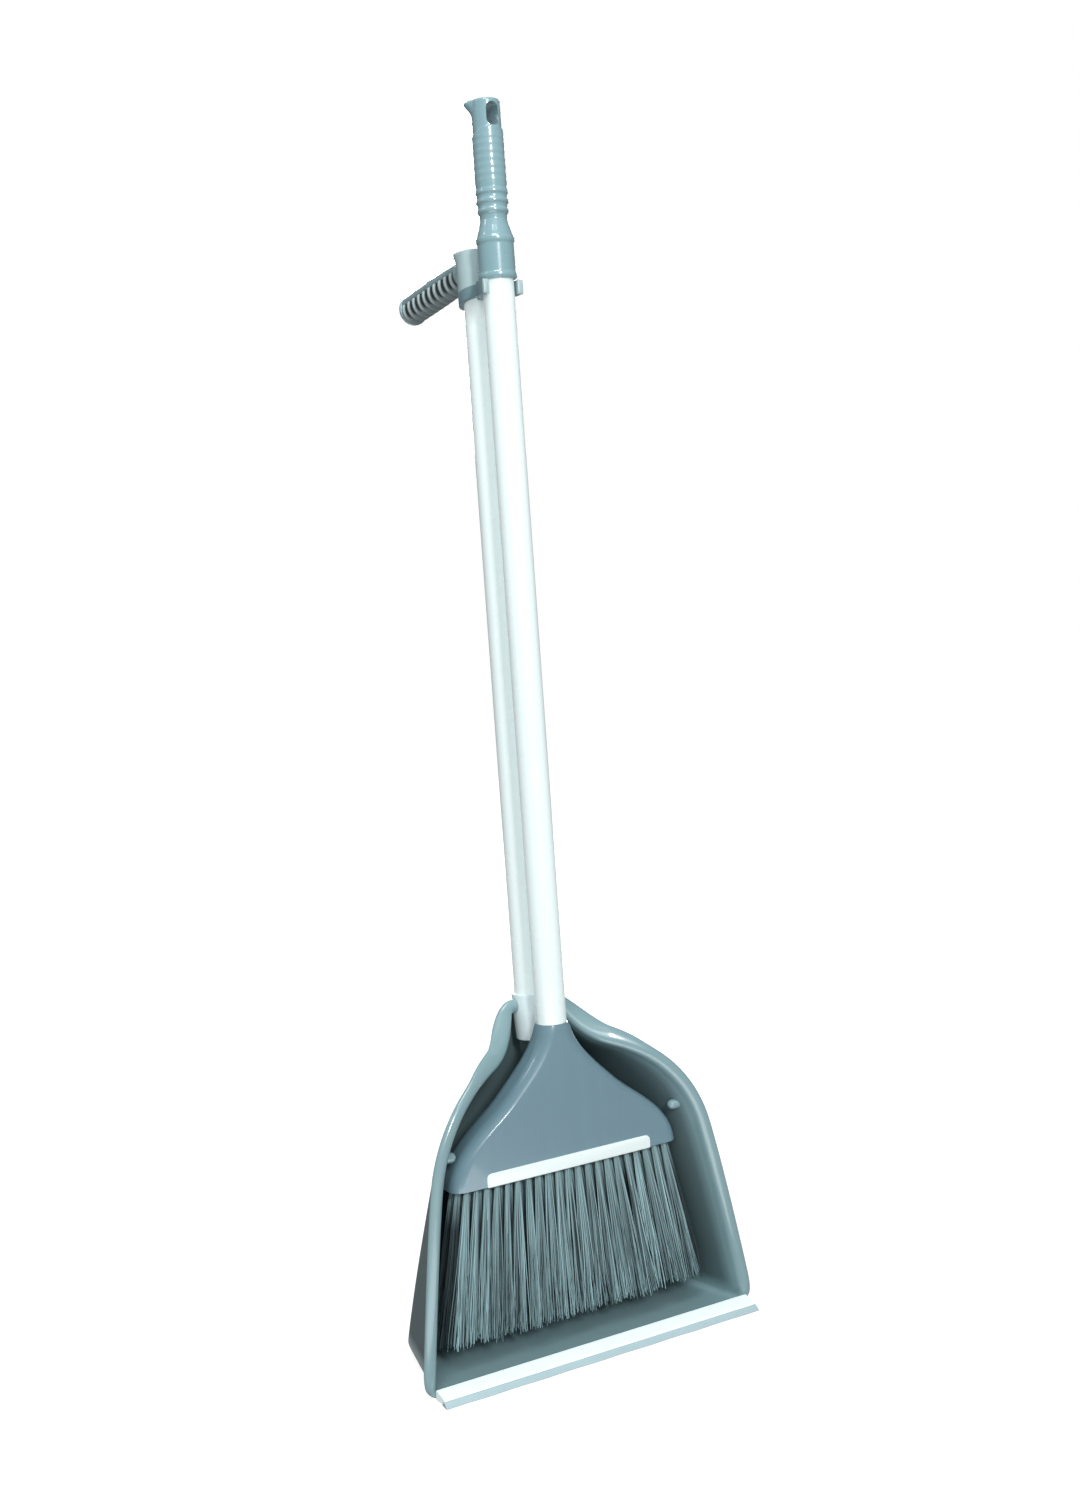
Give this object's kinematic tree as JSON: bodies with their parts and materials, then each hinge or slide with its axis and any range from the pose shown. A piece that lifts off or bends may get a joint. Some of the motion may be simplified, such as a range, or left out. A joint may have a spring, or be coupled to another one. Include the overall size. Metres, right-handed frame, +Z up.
{
  "type": "dust pan and broom set",
  "caption": "Upright dust pan on a tall handle with a ribbed cane grip, and a tall broom with a bell-shaped head clipped in front of it.",
  "frame": {"origin": "on the ground under the axis of the pan's handle tube", "axes": "+Z up along both tubes, the pan opens towards -Y, and the set is symmetric left to right about X = 0"},
  "size_m": [0.2926, 0.2175, 0.952],
  "materials": {
    "pan_shell": "satin moulded polypropylene with a glossy rim",
    "soft_lip": "soft white elastomer, satin",
    "light_grey": "satin light grey moulding",
    "white_tube": "smooth white coating on steel tube",
    "inner_plastic": "plain moulded plastic, hidden",
    "clip_grey": "satin moulding",
    "grip_plastic": "glossy moulding",
    "grip_rubber": "matt ribbed rubber",
    "head_shell": "satin front panel with glossy shoulders",
    "white_strip": "smooth white strip",
    "broom_grip": "glossy moulding with shallow rings",
    "staple_wire": "flat drawn wire",
    "bristle": "flagged synthetic filaments"
  },
  "bodies": {
    "pan": {"pan_body": "pan_shell", "lip_strip": "soft_lip", "handle_ferrule": "light_grey", "pan_tube": "white_tube", "tube_top_plug": "inner_plastic", "grip_collar": "light_grey", "broom_clip": "clip_grey", "pan_grip_core": "grip_plastic", "pan_grip_sleeve": "grip_rubber", "pan_grip_end_cap": "grip_plastic"},
    "broom": {"broom_head": "head_shell", "bristle_block": "inner_plastic", "edge_strip": "white_strip", "thread_plug": "inner_plastic", "broom_tube": "white_tube", "broom_grip": "broom_grip", "tuft_staples": "staple_wire", "tuft_row_1": "bristle", "tuft_row_2": "bristle", "tuft_row_3": "bristle", "tuft_row_4": "bristle", "tuft_row_5": "bristle"}
  },
  "joints": [
    {"name": "broom_pull", "type": "slide", "parent": "pan", "child": "broom", "axis": [0, -1, 0], "range_m": [0, 0.15]}
  ]
}
